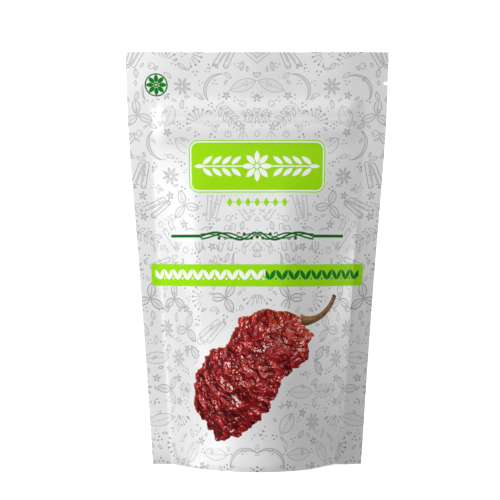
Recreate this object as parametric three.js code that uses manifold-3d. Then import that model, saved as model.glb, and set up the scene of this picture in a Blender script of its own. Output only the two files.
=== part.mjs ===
// A filled stand-up zip pouch: two film panels and a folded bottom gusset, heat-sealed along their edges,
// a press-to-close zip below the tear notch, and the dried chilli pods that hold the pouch open.
// Millimetres, +Z up. The printed front faces -Y. The origin is on the surface under the middle of the base.
import * as THREE from "three";
import { mergeVertices } from "three/addons/utils/BufferGeometryUtils.js";
import Module from "manifold-3d";

// Driving dimensions of the pouch
const flatWidth = 130; // across the film, edge to edge
const standingHeight = 204;
const baseWidth = 103.2; // between the bottom corners, drawn in where the gusset opens
const baseDepth = 60; // between the panels at the middle of the base
const sideSeal = 10; // width of the flat seal down each side
const zipBelowTop = 34;
const notchBelowTop = 15.5;
const gussetDepth = 38; // from the bottom edge up to the gusset's fold
const filmThickness = 0.15;
const weldGap = 0.1; // left between the flat welded layers, so that each film is a solid of its own
const curvedWeldGap = 0.35; // the same where the welded film curves
const flatWeldColumn = 0.83; // film column from which the gusset's weld gap narrows towards the flat seal

// How the filled pouch bulges
const bulgeFullness = 2.6; // higher keeps the belly full further up
const bulgeClosing = 1.2; // higher closes more softly towards the zip
const bellyRise = 1.5; // extra bulge above the base rim
const bellyTop = 90;
const sectionRoundness = 0.9; // 0.5 is an ellipse across the pouch, 1 a parabola
const waveHeight = 1.8; // the slack upper film leans front and back in one gentle wave
const waveLength = 80;
const waveCrest = -8; // where the wave comes forward, from the middle
const waveStart = 110;
const waveFull = 190;

// Press-to-close zip
const zipFlange = 11; // height of each strip
const zipHalfLength = 49;
const zipHalfRoom = 1.4; // from the middle to the panel's inside, where the closed zip sits
const zipFade = 7; // height over which the panels close again above and below the zip
const zipEndColumn = 0.93; // film column where they start to close towards the side seals

// Tear notch in the right edge
const notchDepth = 3;
const notchMouth = 2.4;

// Dried chilli pods
const podLength = 44; // shrivelled body, without its stem
const podWidth = 18.5;
const podFlatness = 0.82;
const podStem = 15;
const podSides = 9;
const broadWrinkles = 0.09; // of the pod's radius, three round the pod
const narrowWrinkles = 0.07; // of the pod's radius, four round the pod
const stemBend = 0.2; // sideways, of the stem's length
const podLayers = [2, 2, 2, 1, 1, 1]; // pods in each layer, from the base up
const firstLayer = 36;
const layerStep = 19.3;

const { lerp, smoothstep, seededRandom } = THREE.MathUtils;
const zipHeight = standingHeight - zipBelowTop;
const notchHeight = standingHeight - notchBelowTop;
const sealRoom = filmThickness + 2 * weldGap; // half the room between sealed panels: one gusset layer

const halfWidth = (z) => lerp(baseWidth, flatWidth, z / standingHeight) / 2;
const innerHalfWidth = (z) => halfWidth(z) - sideSeal;

// Half the room that the contents keep open at mid width: full at the belly and nothing from the zip up.
function bulge(z) {
  const rise = Math.min(z / zipHeight, 1);
  const belly = bellyRise * Math.sin(Math.PI * Math.min(z / bellyTop, 1));
  return (baseDepth / 2) * (1 - rise ** bulgeFullness) ** bulgeClosing + belly;
}

// The same room at a distance x from the middle.
function bulgeAt(x, z) {
  const across = Math.min(Math.abs(x) / innerHalfWidth(z), 1);
  return bulge(z) * (1 - across ** 2) ** sectionRoundness;
}

// x of a film column. Columns run from -2 to 2: up to 1 they share out the film between the side seals in
// equal lengths, because film bends and doesn't stretch, and from 1 to 2 they cross the flat seal.
function columnX(column, z) {
  const steps = 60;
  const inner = innerHalfWidth(z);
  const reach = Math.abs(column);
  if (reach >= 1) return Math.sign(column) * (inner + (reach - 1) * sideSeal);
  const lengths = [0];
  for (let i = 1; i <= steps; i++) {
    const rise = bulgeAt((inner * i) / steps, z) - bulgeAt((inner * (i - 1)) / steps, z);
    lengths.push(lengths[i - 1] + Math.hypot(inner / steps, rise));
  }
  const wanted = reach * lengths[steps];
  const after = lengths.findIndex((length) => length > wanted);
  const share = (wanted - lengths[after - 1]) / (lengths[after] - lengths[after - 1]);
  return (Math.sign(column) * inner * (after - 1 + share)) / steps;
}

const wave = (x, z) =>
  -waveHeight * smoothstep(z, waveStart, waveFull) * Math.cos((2 * Math.PI * (x - waveCrest)) / waveLength);

// Half the room between the panels: the seals' layers, the contents and the closed zip.
function halfRoom(column, z) {
  const fromZip = Math.abs(z - zipHeight) - zipFlange / 2 - 1;
  const inZip = (1 - smoothstep(fromZip, 0, zipFade)) * (1 - smoothstep(Math.abs(column), zipEndColumn, 1));
  return sealRoom + bulgeAt(columnX(column, z), z) + (zipHalfRoom - sealRoom) * inZip;
}

// A point of a layer that lies inset from a panel's inside. The front is side -1 and the back is side 1.
function layerPoint(column, z, side, inset) {
  const x = columnX(column, z);
  return new THREE.Vector3(x, wave(x, z) + side * (halfRoom(column, z) - inset), z);
}

// A closed sheet of film from rows of points at mid thickness, level along its first and last edges.
function filmSheet(rows) {
  const last = rows.length - 1;
  const width = rows[0].length;
  const vertices = [];
  for (const [j, row] of rows.entries()) {
    for (const [i, point] of row.entries()) {
      const along = row[Math.min(i + 1, width - 1)].clone().sub(row[Math.max(i - 1, 0)]);
      const up = rows[Math.min(j + 1, last)][i].clone().sub(rows[Math.max(j - 1, 0)][i]);
      const normal = along.cross(up);
      if (j === 0 || j === last) normal.z = 0;
      normal.setLength(filmThickness / 2);
      vertices.push(...point.clone().add(normal), ...point.clone().sub(normal));
    }
  }
  const face = (j, i) => 2 * (j * width + i); // the inside vertex follows its outside one
  const triangles = [];
  const strip = (a, b) => triangles.push(a + 1, b + 1, b, a + 1, b, a); // wall along the edge from a to b
  for (let j = 0; j < last; j++) {
    for (let i = 0; i < width - 1; i++) {
      const [a, b, c, d] = [face(j, i), face(j, i + 1), face(j + 1, i + 1), face(j + 1, i)];
      triangles.push(a, b, d, b, c, d, a + 1, d + 1, b + 1, b + 1, d + 1, c + 1);
    }
    strip(face(j + 1, 0), face(j, 0));
    strip(face(j, width - 1), face(j + 1, width - 1));
  }
  for (let i = 0; i < width - 1; i++) {
    strip(face(0, i), face(0, i + 1));
    strip(face(last, i + 1), face(last, i));
  }
  return closedMesh(vertices, triangles);
}

function closedMesh(vertices, triangles) {
  const geometry = new THREE.BufferGeometry();
  geometry.setAttribute("position", new THREE.Float32BufferAttribute(vertices, 3));
  geometry.setIndex(triangles);
  return geometry;
}

// Boolean cutting of closed meshes
const wasm = await Module();
wasm.setup();

function solidOf(geometry) {
  const bare = geometry.clone();
  bare.deleteAttribute("normal");
  bare.deleteAttribute("uv");
  const merged = mergeVertices(bare);
  const vertProperties = merged.attributes.position.array;
  const triVerts = new Uint32Array(merged.index.array);
  return new wasm.Manifold(new wasm.Mesh({ numProp: 3, vertProperties, triVerts }));
}

function cutFrom(geometry, cutter) {
  const { vertProperties, triVerts } = solidOf(geometry).subtract(solidOf(cutter)).getMesh();
  return closedMesh(vertProperties, [...triVerts]);
}

// Film columns across the pouch, closer where the panel turns into its seal, and film rows up it
const halfColumns = [0.14, 0.28, 0.42, 0.56, 0.7, 0.83, 0.93, 1, 2];
const columns = [...halfColumns.map((c) => -c).reverse(), 0, ...halfColumns];
const bellyRows = [0, 4, 9, 15, 22, 30, 40, 51, 63, 75, 87, 99, 111, 123, 134, 144, 152, 158];
const zipRows = [-1, -0.6, 0, 0.6, 1].map((share) => zipHeight + share * (zipFlange / 2 + 1));
const headRows = [zipHeight + zipFlange / 2 + zipFade, standingHeight - sideSeal, standingHeight];

function tearNotch() {
  const edge = halfWidth(notchHeight);
  const outline = new THREE.Shape([
    new THREE.Vector2(edge - notchDepth, notchHeight),
    new THREE.Vector2(edge + notchDepth, notchHeight - notchMouth),
    new THREE.Vector2(edge + notchDepth, notchHeight + notchMouth),
  ]);
  const through = new THREE.ExtrudeGeometry(outline, { depth: baseDepth, bevelEnabled: false });
  return through.translate(0, 0, -baseDepth / 2).rotateX(Math.PI / 2);
}

// A front or back panel, with the tear notch cut through its right seal
function panel(side) {
  const rows = [...bellyRows, ...zipRows, ...headRows].map((z) =>
    columns.map((column) => layerPoint(column, z, side, -filmThickness / 2)),
  );
  return cutFrom(filmSheet(rows), tearNotch());
}

// The gusset film rises from the front bottom edge, welded to the panel as far as the seal curve, crosses
// freely to its fold in the middle, and comes down the back the same way.
function gussetHalf(side) {
  const weldShares = [0, 0.35, 0.7, 1];
  const freeShares = [0.35, 0.7, 1];
  const slack = 1.03; // free film over the distance that it spans
  const foldRoom = filmThickness / 2 + weldGap;
  const inset = (column) =>
    filmThickness / 2 + lerp(curvedWeldGap, weldGap, smoothstep(Math.abs(column), flatWeldColumn, 1));
  const edgeHeight = 0.2; // above the panel's bottom edge
  const leastFree = 2;
  const weldTop = (column) =>
    Math.min(gussetDepth - slack * halfRoom(column, edgeHeight), gussetDepth - leastFree);
  const foldHeight = (column) => {
    const free = gussetDepth - weldTop(column);
    const span = Math.min(halfRoom(column, weldTop(column)), free);
    return weldTop(column) + Math.sqrt(free ** 2 - span ** 2);
  };
  const welded = weldShares.map((share) =>
    columns.map((column) => {
      const z = lerp(edgeHeight, weldTop(column), share);
      return layerPoint(column, z, side, inset(column));
    }),
  );
  const free = freeShares.map((share) =>
    columns.map((column, i) => {
      const weldEdge = welded.at(-1)[i];
      const fold = new THREE.Vector3(weldEdge.x, side * foldRoom, foldHeight(column));
      return weldEdge.clone().lerp(fold, share);
    }),
  );
  return [...welded, ...free];
}

function bottomGusset() {
  const front = gussetHalf(-1);
  const back = gussetHalf(1);
  const foldRise = 0.1;
  const fold = front.at(-1).map(({ x, z }) => new THREE.Vector3(x, 0, z + foldRise));
  return filmSheet([...front, fold, ...back.reverse()]);
}

// Zip profiles, drawn as distance from the middle against height: a barbed ridge that snaps between two hooks
const ridgeProfile = [
  [-1.15, -zipFlange / 2], [-0.9, -zipFlange / 2], [-0.9, -0.25], [0.05, -0.25], [0.05, -0.55], [0.45, -0.2],
  [0.45, 0.2], [0.05, 0.55], [0.05, 0.25], [-0.9, 0.25], [-0.9, zipFlange / 2], [-1.15, zipFlange / 2],
];
const hookProfile = [[0.9, 0.75], [-0.1, 0.75], [-0.1, 0.35], [-0.4, 0.35], [-0.4, 1.15], [0.9, 1.15]];
const grooveProfile = [
  [1.15, -zipFlange / 2], [0.9, -zipFlange / 2], ...hookProfile.map(([y, z]) => [y, -z]).reverse(),
  ...hookProfile, [0.9, zipFlange / 2], [1.15, zipFlange / 2],
];

// A zip strip follows the upper film's wave across the pouch.
function zipStrip(profile) {
  const stations = 13;
  const path = Array.from({ length: stations }, (_, i) => {
    const x = lerp(-zipHalfLength, zipHalfLength, i / (stations - 1));
    return new THREE.Vector3(x, wave(x, zipHeight), zipHeight);
  });
  // Along +X an extruded shape's own axes lie along -Z and +Y.
  const shape = new THREE.Shape(profile.map(([y, z]) => new THREE.Vector2(-z, y)));
  const extrudePath = new THREE.CatmullRomCurve3(path);
  return new THREE.ExtrudeGeometry(shape, { steps: stations - 1, extrudePath });
}

// A dried pod as one loft from its pointed tip over the wrinkled body and the calyx to its bent stem's end.
// Each ring gives how far along the body it lies and its share of the pod's half width.
const podRings = [
  [0.05, 0.22], [0.16, 0.55], [0.3, 0.82], [0.45, 0.92], [0.58, 0.84], [0.72, 1], [0.86, 0.94], [0.96, 0.6],
  [1, 0.24], [1.12, 0.13], [1.26, 0.11],
];

function chilliPod(seed) {
  const turn = 2 * Math.PI * seed;
  const end = 1 + podStem / podLength;
  const bend = podStem * stemBend;
  const centre = (along) => [
    podLength * (along - end / 2),
    bend * Math.max(along - 1, 0) ** 2 * (podLength / podStem) ** 2,
  ];
  const vertices = [...centre(0), 0];
  for (const [along, share] of podRings) {
    const [x, y] = centre(along);
    for (let k = 0; k < podSides; k++) {
      const angle = (2 * Math.PI * k) / podSides;
      const broad = broadWrinkles * Math.cos(3 * angle + 7 * along + turn);
      const narrow = narrowWrinkles * Math.cos(4 * angle - 11 * along);
      const radius = (podWidth / 2) * share * (1 + broad + narrow);
      vertices.push(x, y + radius * Math.cos(angle), podFlatness * radius * Math.sin(angle));
    }
  }
  vertices.push(...centre(end), 0);
  const ring = (r, k) => 1 + r * podSides + (k % podSides);
  const stemEnd = 1 + podRings.length * podSides;
  const triangles = [];
  for (let k = 0; k < podSides; k++) {
    triangles.push(0, ring(0, k + 1), ring(0, k));
    for (let r = 0; r < podRings.length - 1; r++) {
      triangles.push(ring(r, k), ring(r, k + 1), ring(r + 1, k));
      triangles.push(ring(r, k + 1), ring(r + 1, k + 1), ring(r + 1, k));
    }
    triangles.push(stemEnd, ring(podRings.length - 1, k), ring(podRings.length - 1, k + 1));
  }
  return closedMesh(vertices, triangles);
}

// Materials
const film = new THREE.MeshStandardMaterial({ color: 0xe4e4e5, roughness: 0.35, metalness: 0.3 });
const gussetFilm = new THREE.MeshStandardMaterial({ color: 0xd4d4d6, roughness: 0.4, metalness: 0.3 });
const zipPlastic = new THREE.MeshStandardMaterial({ color: 0xf0f0ec, roughness: 0.45, metalness: 0 });
const driedSkin = new THREE.MeshStandardMaterial({ color: 0x822a29, roughness: 0.5, metalness: 0 });

// Assembly
const pouch = new THREE.Group();

function add(name, geometry, material, parent = pouch) {
  const mesh = new THREE.Mesh(geometry, material);
  mesh.name = name;
  parent.add(mesh);
  return mesh;
}

add("front_panel", panel(-1), film);
add("back_panel", panel(1), film);
add("bottom_gusset", bottomGusset(), gussetFilm);
add("zip_ridge_strip", zipStrip(ridgeProfile), zipPlastic);
add("zip_groove_strip", zipStrip(grooveProfile), zipPlastic);

// The pods lie across the pouch in layers, two abreast where the belly is deep enough, with their stems to
// alternate sides.
const contents = new THREE.Group();
pouch.add(contents);
const abreast = 0.44; // of the room at mid width, from the middle to each of two pods
const mostYaw = 0.05;
const mostSlide = 2;
seededRandom(7);
let podCount = 0;
for (const [layer, pods] of podLayers.entries()) {
  const z = firstLayer + layer * layerStep;
  for (let place = 0; place < pods; place++) {
    podCount += 1;
    const pod = add(`chilli_pod_${podCount}`, chilliPod(seededRandom()), driedSkin, contents);
    const aside = pods === 2 ? (2 * place - 1) * abreast * bulge(z) : 0;
    pod.position.set(mostSlide * (2 * seededRandom() - 1), aside, z);
    pod.rotation.z = mostYaw * (2 * seededRandom() - 1) + (podCount % 2 ? Math.PI : 0);
  }
}

export default pouch;
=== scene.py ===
# A filled stand-up pouch of printed, metallised film, with its zip and the dried chilli pods inside
import math
from functools import partial

import bpy
import numpy as np
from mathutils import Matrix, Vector


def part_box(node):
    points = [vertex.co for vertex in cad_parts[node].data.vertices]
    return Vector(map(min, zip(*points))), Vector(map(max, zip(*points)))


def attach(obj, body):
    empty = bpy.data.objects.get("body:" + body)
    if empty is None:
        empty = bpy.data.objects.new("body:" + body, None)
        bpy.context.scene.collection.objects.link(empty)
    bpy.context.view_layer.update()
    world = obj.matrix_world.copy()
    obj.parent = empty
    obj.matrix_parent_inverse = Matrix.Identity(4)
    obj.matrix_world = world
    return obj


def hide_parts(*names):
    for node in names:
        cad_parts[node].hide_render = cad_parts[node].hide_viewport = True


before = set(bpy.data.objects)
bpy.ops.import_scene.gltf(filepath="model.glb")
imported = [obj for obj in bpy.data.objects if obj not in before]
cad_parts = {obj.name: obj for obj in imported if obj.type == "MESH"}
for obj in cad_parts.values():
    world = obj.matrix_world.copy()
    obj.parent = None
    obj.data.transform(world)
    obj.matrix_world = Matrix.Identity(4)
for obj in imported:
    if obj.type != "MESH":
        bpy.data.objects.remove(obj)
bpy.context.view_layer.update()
mm = 0.001
print("frame loaded:", len(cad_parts), "nodes")

# Kinds of node that are used most
ranges = "ShaderNodeMapRange"
noises = "ShaderNodeTexNoise"
splits = "ShaderNodeSeparateXYZ"
joins = "ShaderNodeCombineXYZ"
turns = "ShaderNodeVectorRotate"
attributes = "GeometryNodeInputNamedAttribute"


def linear(hexColour):  # sRGB hex to linear RGBA
    channels = [int(hexColour[i:i + 2], 16) / 255 for i in (1, 3, 5)]
    return [c / 12.92 if c <= 0.04045 else ((c + 0.055) / 1.055) ** 2.4 for c in channels] + [1]


def node(kind, *inputs, named=None, out=0, tree=None, **settings):  # adds a node with its settings and links
    operation = kind.split()[-1]
    if operation.isupper():  # Math nodes go by their operation, and Vector Math nodes as in "vector ADD"
        kind = "ShaderNodeMath" if operation == kind else "ShaderNodeVectorMath"
        settings["operation"] = operation
    given = [*enumerate(inputs), *(named or {}).items()]
    linked = {key: value for key, value in given if isinstance(value, bpy.types.NodeSocket)}
    tree = tree or [*linked.values()][0].id_data
    made = tree.nodes.new(kind)
    for key, value in settings.items():
        setattr(made, key, value)
    for key, value in given:
        if key in linked:
            tree.links.new(value, made.inputs[key])
        else:
            made.inputs[key].default_value = value
    return made.outputs[out] if made.outputs else made


def newGroup(name, kind, inputs, outputs):  # an empty node group with named sockets, and its inputs
    tree = bpy.data.node_groups.new(name, f"{kind}NodeTree")
    for way, sockets in (("INPUT", inputs), ("OUTPUT", outputs)):
        for socket, holds in sockets.items():
            tree.interface.new_socket(socket, in_out=way, socket_type=f"NodeSocket{holds}")
    return tree, tree.nodes.new("NodeGroupInput").outputs


def newMaterial(name, sockets, *details):  # one shader, whose sockets the given function works out
    material = bpy.data.materials.new(name)
    material.use_nodes = True
    material.node_tree.nodes.clear()
    shader = node("ShaderNodeBsdfPrincipled", named=sockets(material.node_tree, *details))
    node("ShaderNodeOutputMaterial", shader)
    return material


def addObject(name, data):
    made = bpy.data.objects.new(name, data)
    bpy.context.scene.collection.objects.link(made)
    return made


def growNodes(made, tree, values):  # a Geometry Nodes modifier, its inputs set by identifier
    modifier = made.modifiers.new(tree.name, "NODES")
    modifier.node_group = tree
    for item in tree.interface.items_tree:
        if item.in_out == "INPUT" and item.name in values:
            modifier[item.identifier] = values[item.name]


def plainPiece(made, name):  # the evaluated object as a plain mesh with no modifiers, at the origin
    graph = bpy.context.evaluated_depsgraph_get()
    mesh = bpy.data.meshes.new_from_object(made.evaluated_get(graph))
    made.modifiers.clear()
    made.data = mesh
    made.name = mesh.name = name


def standsFor(made, cadNode):
    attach(made, "root")
    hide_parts(cadNode)


# Camera
view = {"away": 0.85, "aside": -0.0035, "height": 0.106, "lens": 123.6, "sensor": 36}
cameraData = bpy.data.cameras.new("camera")
cameraData.lens = view["lens"]
cameraData.sensor_width = view["sensor"]
camera = addObject("camera", cameraData)
camera.location = (view["aside"], -view["away"], view["height"])
camera.rotation_euler = (math.pi / 2, 0, 0)
bpy.context.scene.camera = camera
bpy.context.scene.view_settings.view_transform = "Standard"


# Film surface, in millimetres. Columns run from -2 to 2: to 1 between the side seals, to 2 over them
panelLow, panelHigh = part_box("front_panel")
zipLow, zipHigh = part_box("zip_ridge_strip")
pouch = {
    "flatWidth": (panelHigh.x - panelLow.x) / mm, "height": panelHigh.z / mm, "baseWidth": 103.2,
    "baseDepth": 60,
    "sideBow": 1.25,  # how far the sides stand out of a straight line
    "bowHeight": 165, "bowBelow": 60, "bowAbove": 33, "sideSeal": 10,
    "sealBend": 1.6,  # how far the right seal's edge bends back, below the heights where that fades
    "sealBendFade": (50, 120), "sealBendCurve": 1.5, "zipHeight": (zipLow.z + zipHigh.z) / 2 / mm,
    "zipHalfRoom": 2.4, "zipFade": 11,
    "zipEnd": (0.82, 1),  # columns where the room for the zip runs out
    "zipShoulder": 3,  # from the zip's middle to where the film starts to close
    "zipRidge": 0.3,  # how far the closed zip's track stands out under the film
    "zipRidgeHalf": 1.1, "notchBelowTop": 15.5, "notchDepth": 2.0, "notchHalf": 0.8, "notchWall": 0.08,
    "gussetDepth": 38,
    "gussetFade": 20,  # height over which the seal thins above the gusset
    "film": 0.15,
    "weld": 0.02,  # between welded films
    "fullness": 2.6, "closing": 1.2, "bellyRise": 1.5, "bellyTop": 90, "roundness": 0.9,
    "edgeSoft": 0.04,  # how softly the bulge runs out into the side seals
    "waveHeight": 0.65, "waveLength": 45, "waveCrest": -3.5, "waveRise": (172, 198),
}
dents = {  # of the front film: how deep, and the heights and columns over which each one rises and fades
    "crease": 3.4,  # a soft fold down the front, where the flatter middle meets the left side
    "creaseColumn": -0.56, "creaseSpan": 0.8, "creaseSoft": 0.045,
    "creaseHeights": ((35, 75), (125, 160)),
    "heel": 4.2,  # the base turns in under its right half
    "heelRise": 28, "heelColumns": ((0.45, 0.8), (0.9, 1)),
    "waist": 2.0,  # the left half draws in above the base
    "waistHeights": ((0, 32), (60, 110)), "waistColumns": ((-1, -0.8), (0, 0.5)),
    "flare": -1.2,  # the base flares out along the rest of its front
    "flareRise": 14, "flareColumns": ((-1, -0.6), (0.45, 0.85)),
}
grid = {
    "columns": 76,
    "fineColumns": ((0.7, 1, 31), (-0.65, -0.47, 13)),  # more of them at the right seal and along the crease
    "sealSteps": 5, "rowStep": 1.6, "zipRows": (-9, 9, 37),
}
notchHeight = pouch["height"] - pouch["notchBelowTop"]
flatInner = pouch["flatWidth"] / 2 - pouch["sideSeal"]  # half the flat film between the side seals


def smooth(value, low, high):
    share = np.clip((value - low) / (high - low), 0, 1)
    return share * share * (3 - 2 * share)


def hump(value, rise, fade):
    return smooth(value, *rise) * (1 - smooth(value, *fade))


def innerHalfWidth(z):
    share = z / pouch["height"]
    straight = (pouch["baseWidth"] + (pouch["flatWidth"] - pouch["baseWidth"]) * share) / 2
    fade = np.where(np.asarray(z) < pouch["bowHeight"], pouch["bowBelow"], pouch["bowAbove"])
    bow = pouch["sideBow"] * np.exp(-((z - pouch["bowHeight"]) / fade) ** 2)
    return straight + bow - pouch["sideSeal"]


def bulgeAt(x, z):  # half the room that the contents keep open
    rise = np.clip(z / pouch["zipHeight"], 0, 1)
    belly = pouch["bellyRise"] * np.sin(np.pi * np.clip(z / pouch["bellyTop"], 0, 1))
    middle = pouch["baseDepth"] / 2 * (1 - rise ** pouch["fullness"]) ** pouch["closing"] + belly
    across = np.clip(np.abs(x) / innerHalfWidth(z), 0, 1)
    share = 1 - across ** 2
    eased = (1 + pouch["edgeSoft"]) * share ** 2 / (share + pouch["edgeSoft"])
    return middle * eased ** pouch["roundness"]


def overSeal(columns, inner, z):  # adds the way over the seal, less the tear notch on the right
    past = (pouch["notchHalf"] - abs(z - notchHeight)) / pouch["notchWall"]
    notch = pouch["notchDepth"] * np.clip(past, 0, 1)
    seal = np.where(columns > 0, pouch["sideSeal"] - notch, pouch["sideSeal"])
    return np.sign(columns) * (inner + np.clip(np.abs(columns) - 1, 0, 1) * seal)


def columnX(columns, z):  # equal lengths of film between the seals, because film bends and doesn't stretch
    steps = np.linspace(0, innerHalfWidth(z), 400)
    rises = np.diff(bulgeAt(steps, z))
    lengths = np.concatenate([[0], np.cumsum(np.hypot(np.diff(steps), rises))])
    inner = np.interp(np.minimum(np.abs(columns), 1) * lengths[-1], lengths, steps)
    return overSeal(columns, inner, z)


def flatX(columns, z):  # the same place on the flat film
    return overSeal(columns, flatInner * np.minimum(np.abs(columns), 1), z)


def wave(x, z):  # the film above the zip ripples a little, and the right seal bends back near the base
    lean = pouch["waveHeight"] * smooth(z, *pouch["waveRise"])
    pastSeal = np.clip((x - innerHalfWidth(z)) / pouch["sideSeal"], 0, 1)
    bend = pouch["sealBend"] * pastSeal ** pouch["sealBendCurve"] * (1 - smooth(z, *pouch["sealBendFade"]))
    return bend - lean * np.cos(2 * np.pi * (x - pouch["waveCrest"]) / pouch["waveLength"])


def halfRoom(columns, z):  # from the middle to a panel's inside
    gussetTop = pouch["gussetDepth"]
    thinner = smooth(z, gussetTop, gussetTop + pouch["gussetFade"])
    seal = pouch["weld"] + (pouch["film"] + pouch["weld"]) * (1 - thinner)
    fromZip = abs(z - pouch["zipHeight"])
    inside = 1 - smooth(np.abs(columns), *pouch["zipEnd"])
    inZip = (1 - smooth(fromZip - pouch["zipShoulder"], 0, pouch["zipFade"])) * inside
    track = pouch["zipRidge"] * math.exp(-(fromZip / pouch["zipRidgeHalf"]) ** 2) * inside
    return seal + bulgeAt(columnX(columns, z), z) + (pouch["zipHalfRoom"] - seal) * inZip + track


def frontDent(columns, z):  # how far the front film lies inside its even bulge
    shifts = np.linspace(-dents["creaseSoft"], dents["creaseSoft"], 5)
    shares = [np.clip((columns + by - dents["creaseColumn"]) / dents["creaseSpan"], 0, 1) for by in shifts]
    crease = np.mean([4 * share * (1 - share) for share in shares], axis=0) * hump(z, *dents["creaseHeights"])
    heel = (1 - smooth(z, 0, dents["heelRise"])) * hump(columns, *dents["heelColumns"])
    waist = hump(z, *dents["waistHeights"]) * hump(columns, *dents["waistColumns"])
    flare = np.clip(1 - z / dents["flareRise"], 0, 1) ** 2 * hump(columns, *dents["flareColumns"])
    return dents["crease"] * crease + dents["heel"] * heel + dents["waist"] * waist + dents["flare"] * flare


def filmRow(columns, z, side, inset):  # points across a layer; side -1 is the front
    heights = np.broadcast_to(z, columns.shape)
    if np.ndim(z):
        x = np.array([columnX(columns[[i]], h)[0] for i, h in enumerate(heights)])
        room = np.array([halfRoom(columns[[i]], h)[0] for i, h in enumerate(heights)])
    else:
        x, room = columnX(columns, z), halfRoom(columns, z)
    dent = frontDent(columns, heights) if side < 0 else 0
    return np.stack([x, wave(x, heights) + side * (room - dent - inset), heights], axis=1)


def filmColumns():
    fine = [np.linspace(*span) for span in grid["fineColumns"]]
    inner = np.unique(np.concatenate([np.linspace(-1, 1, grid["columns"] + 1), *fine]).round(5))
    seal = np.linspace(1, 2, grid["sealSteps"] + 1)[1:]
    return np.concatenate([-seal[::-1], inner, seal])


def gridMesh(name, rows, flat, free, flip):  # a grid of film, with its flat place in millimetres as a UV map
    height, width = rows.shape[:2]
    corner = np.arange(height * width).reshape(height, width)
    ring = [corner[:-1, :-1], corner[:-1, 1:], corner[1:, 1:], corner[1:, :-1]]
    quads = np.stack(ring, axis=-1).reshape(-1, 4)
    if flip:
        quads = quads[:, ::-1]
    mesh = bpy.data.meshes.new(name)
    mesh.from_pydata((rows.reshape(-1, 3) * mm).tolist(), [], quads.tolist())
    mesh.uv_layers.new(name="filmFlat").uv.foreach_set("vector", flat.reshape(-1, 2)[quads.ravel()].ravel())
    mesh.attributes.new("slack", "FLOAT", "POINT").data.foreach_set("value", free.ravel())
    mesh.shade_smooth()
    return addObject(name, mesh)


# Places of the print on the flat film, in millimetres from the middle of the bottom edge
label = {
    "rosette": (-50.2, 187.7), "rosetteRadius": 5.4, "plaque": (0.0, 147.2), "plaqueHalf": (34.9, 13.1),
    "plaqueCorner": 5.0, "keylineInset": 0.95, "keylineHalf": 0.34, "caption": (0.0, 129.4),
    "captionHalf": (16.2, 2.6), "divider": (0.0, 112.8), "dividerHalf": (45.8, 2.0), "band": (0.0, 93.7),
    "bandHalf": (59.2, 5.4), "bandCorner": 1.3, "bandLeavesHalf": (57.2, 4),
    "bandTurn": 4.0,  # where the band's leaves change from white to green
    "motifCell": 15,
    "motifSeeds": {"front": 3, "back": 5},
    "motifTones": (0.45, 0.95), "speckCell": 7.5,
    "inkSoft": 0.08,  # half the width over which an ink's edge runs out
}
ink = {
    "film": "#e9e9ea",
    "line": "#86868a",
    "white": "#fbfdf2",
    "lime": "#9fe20c",
    "green": "#0a7f14",
    "rule": "#096a17",
}


def leafEdge(place, halfLength, halfWidth):  # distance from a pointed leaf's edge, below 0 inside
    reach = (halfLength ** 2 - halfWidth ** 2) / (2 * halfWidth)  # from the rib to the arcs' centres
    folded = node("vector ABSOLUTE", place)
    return discEdge(node("vector ADD", folded, (reach, 0, 0)), reach + halfWidth)


def boxEdge(place, half, corner):  # distance from a rectangle's edge with round corners
    folded = node("vector ABSOLUTE", place)
    past = node("vector SUBTRACT", folded, (half[0] - corner, half[1] - corner, 0))
    return discEdge(node("vector MAXIMUM", past, (0, 0, 0)), corner)


def discEdge(place, radius):
    return node("SUBTRACT", node("vector LENGTH", place, out=1), radius)


def fromSpot(place, spot, turn=0):  # place as seen from a spot, turned by some degrees
    moved = node("vector SUBTRACT", place, (*spot, 0))
    if not turn:
        return moved
    return node(turns, moved, named={"Angle": math.radians(turn)}, rotation_type="Z_AXIS")


def aroundCentre(place, count):  # folds the place into one of several equal sectors, along +Y
    x, y = node(splits, place).node.outputs[:2]
    sector = node("WRAP", node("ARCTAN2", x, y), math.pi / count, -math.pi / count)
    away = node(joins, 0.0, node("vector LENGTH", place, out=1))
    return node(turns, away, named={"Angle": sector}, rotation_type="Z_AXIS")


def inRow(place, pitch, far=1000):  # repeats the place along X
    return node("vector WRAP", place, (pitch / 2, far, far), (-pitch / 2, -far, -far))


def mirrorX(place):
    x, y = node(splits, place).node.outputs[:2]
    return node(joins, node("ABSOLUTE", x), y)


def above(value, limit, soft=0.1):  # 0 up to a limit and 1 past it
    return node(ranges, value, limit, limit + soft)


def below(value, limit, soft=0.1):  # 1 up to a limit and 0 past it
    return node(ranges, value, limit, limit - soft)


def inkFill(edge):
    return below(edge, label["inkSoft"], 2 * label["inkSoft"])


def inkLine(edge, half=0.2):
    return below(node("ABSOLUTE", edge), half + label["inkSoft"], 2 * label["inkSoft"])


def atLeast(*masks):  # the strongest of several masks
    strongest = masks[0]
    for mask in masks[1:]:
        strongest = node("MAXIMUM", strongest, mask)
    return strongest


def both(*masks):
    shared = masks[0]
    for mask in masks[1:]:
        shared = node("MULTIPLY", shared, mask)
    return shared


# Motifs of the line-work. Sizes are in millimetres: leaves by half length and half width, lines by half width
def drawnLeaf(place, size, veins, rib=0.14, ribPast=0.9, slope=0.9, vein=0.1, veinTone=0.7):
    edge = leafEdge(place, *size)
    side, end = node(splits, node("vector ABSOLUTE", place)).node.outputs[:2]
    middle = both(inkLine(side, rib), below(end, size[0] + ribPast))
    slant = node("MULTIPLY_ADD", side, -slope, node(splits, place, out=1))
    repeated = node("WRAP", slant, veins / 2, -veins / 2)
    return atLeast(inkLine(edge), middle,
                   both(inkLine(repeated, vein), inkFill(edge), veinTone))


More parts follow.
